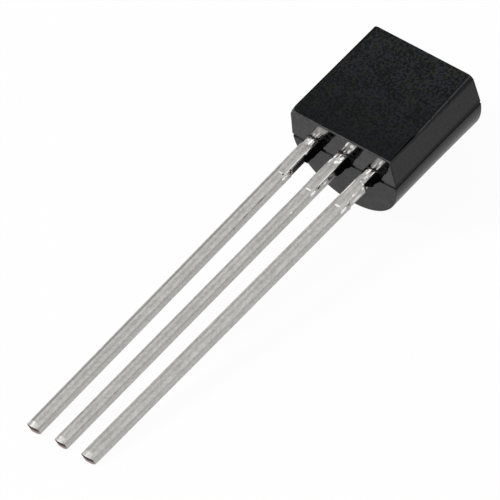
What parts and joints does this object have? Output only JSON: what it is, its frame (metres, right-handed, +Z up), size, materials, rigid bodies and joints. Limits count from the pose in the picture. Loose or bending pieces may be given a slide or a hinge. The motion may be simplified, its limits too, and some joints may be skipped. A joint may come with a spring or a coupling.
{
  "type": "to-92 transistor",
  "caption": "Small through-hole transistor: black moulded body with one flat face and a round back, and a row of long straight tinned leads.",
  "frame": {"origin": "on the ground, under the middle of the part's bounding box, with the part lying on its round back", "axes": "+Y along the part towards the closed end of the body, with the lead tips at -Y; +X along the row of leads from emitter to collector; +Z up, towards the flat face"},
  "size_m": [0.0044, 0.019, 0.004],
  "materials": {
    "moulding_compound": "black epoxy moulding, fine-grained flat, polished ends",
    "lead_tin": "satin tin plating with faint drawn streaks",
    "die_solder": "dull soft solder",
    "silicon": "polished silicon, opaque",
    "bond_gold": "bright gold wire"
  },
  "bodies": {
    "root": {"moulded_body": "moulding_compound", "emitter_lead": "lead_tin", "base_lead": "lead_tin", "collector_lead": "lead_tin", "die_attach": "die_solder", "transistor_die": "silicon", "emitter_bond_wire": "bond_gold", "base_bond_wire": "bond_gold"}
  },
  "joints": []
}
